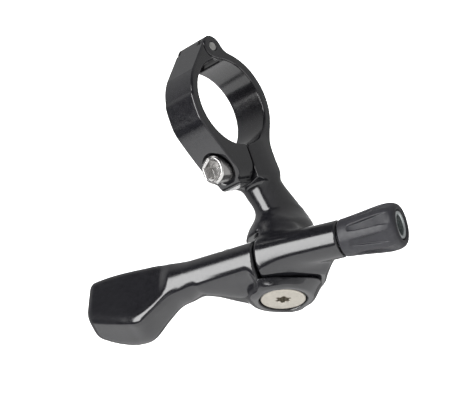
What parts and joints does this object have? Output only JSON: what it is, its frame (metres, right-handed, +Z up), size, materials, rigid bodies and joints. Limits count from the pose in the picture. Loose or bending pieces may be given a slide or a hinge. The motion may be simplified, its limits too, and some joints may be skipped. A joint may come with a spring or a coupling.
{
  "type": "thumb shifter",
  "caption": "Hinged-clamp thumb lever for a bicycle handlebar that pulls a cable; bearing pivot, slanted paddle and inline barrel adjuster.",
  "frame": {"origin": "on the handlebar axis at the middle of the clamp's width", "axes": "+X along the handlebar towards the cable adjuster, +Y forward, +Z up along the lever pivot's axis"},
  "size_m": [0.0824, 0.0423, 0.0655],
  "materials": {
    "black_body": "gloss",
    "black_strap": "gloss",
    "black_lever": "gloss",
    "pin_steel": "satin",
    "bolt_steel": "polished",
    "pivot_cap": "satin",
    "inner_steel": "satin",
    "race_steel": "polished",
    "cage_brass": "satin",
    "knob_grey": "satin",
    "barrel_alloy": "satin",
    "ferrule_silver": "satin",
    "seal_rubber": "matte"
  },
  "bodies": {
    "bracket": {"main_body": "black_body", "hinge_pin": "pin_steel", "lower_bearing_outer_race": "race_steel", "upper_bearing_outer_race": "race_steel", "seal_ring": "seal_rubber", "lever_bumper": "seal_rubber"},
    "strap": {"clamp_strap": "black_strap"},
    "bolt": {"clamp_bolt": "bolt_steel"},
    "lever_arm": {"lever": "black_lever", "pivot_bolt": "pivot_cap", "pivot_nut": "inner_steel", "thrust_washer": "inner_steel", "bearing_spacer": "inner_steel", "lower_bearing_inner_race": "race_steel", "upper_bearing_inner_race": "race_steel", "anchor_screw": "inner_steel", "anchor_washer": "inner_steel"},
    "ball_cages": {"lower_bearing_balls": "cage_brass", "upper_bearing_balls": "cage_brass"},
    "click_unit": {"click_ring": "inner_steel", "click_spring": "inner_steel"},
    "adjuster": {"adjuster_knob": "knob_grey", "adjuster_barrel": "barrel_alloy", "housing_ferrule": "ferrule_silver"}
  },
  "joints": [
    {"name": "lever_pivot", "type": "hinge", "parent": "bracket", "child": "lever_arm", "pos_m": [0.00003, 0.01991, -0.0365], "axis": [0, 0, -1], "range_deg": [0, 40]},
    {"name": "ball_cage_turn", "type": "hinge", "parent": "bracket", "child": "ball_cages", "pos_m": [0.00003, 0.01991, -0.0365], "axis": [0, 0, -1], "range_deg": [0, 16]},
    {"name": "strap_hinge", "type": "hinge", "parent": "bracket", "child": "strap", "pos_m": [0, -0.00597, 0.0131], "axis": [-1, 0, 0], "range_deg": [0, 70]},
    {"name": "clamp_bolt_travel", "type": "slide", "parent": "strap", "child": "bolt", "axis": [0, -0.91, -0.4147], "range_m": [0, 0.0098]},
    {"name": "click_ring_travel", "type": "slide", "parent": "bracket", "child": "click_unit", "axis": [0.9421, 0.3355, 0], "range_m": [0, 0.0025]},
    {"name": "adjuster_turn", "type": "hinge", "parent": "click_unit", "child": "adjuster", "pos_m": [0.02415, 0.02059, -0.0365], "axis": [0.9421, 0.3355, 0], "range_deg": [0, 1080]}
  ],
  "couplings": [
    {"joint": "ball_cage_turn", "follows": "lever_pivot", "ratio": 0.386},
    {"joint": "clamp_bolt_travel", "follows": "strap_hinge", "m_per_rad": 0.008},
    {"joint": "click_ring_travel", "follows": "adjuster_turn", "m_per_rad": 0.00012732}
  ]
}
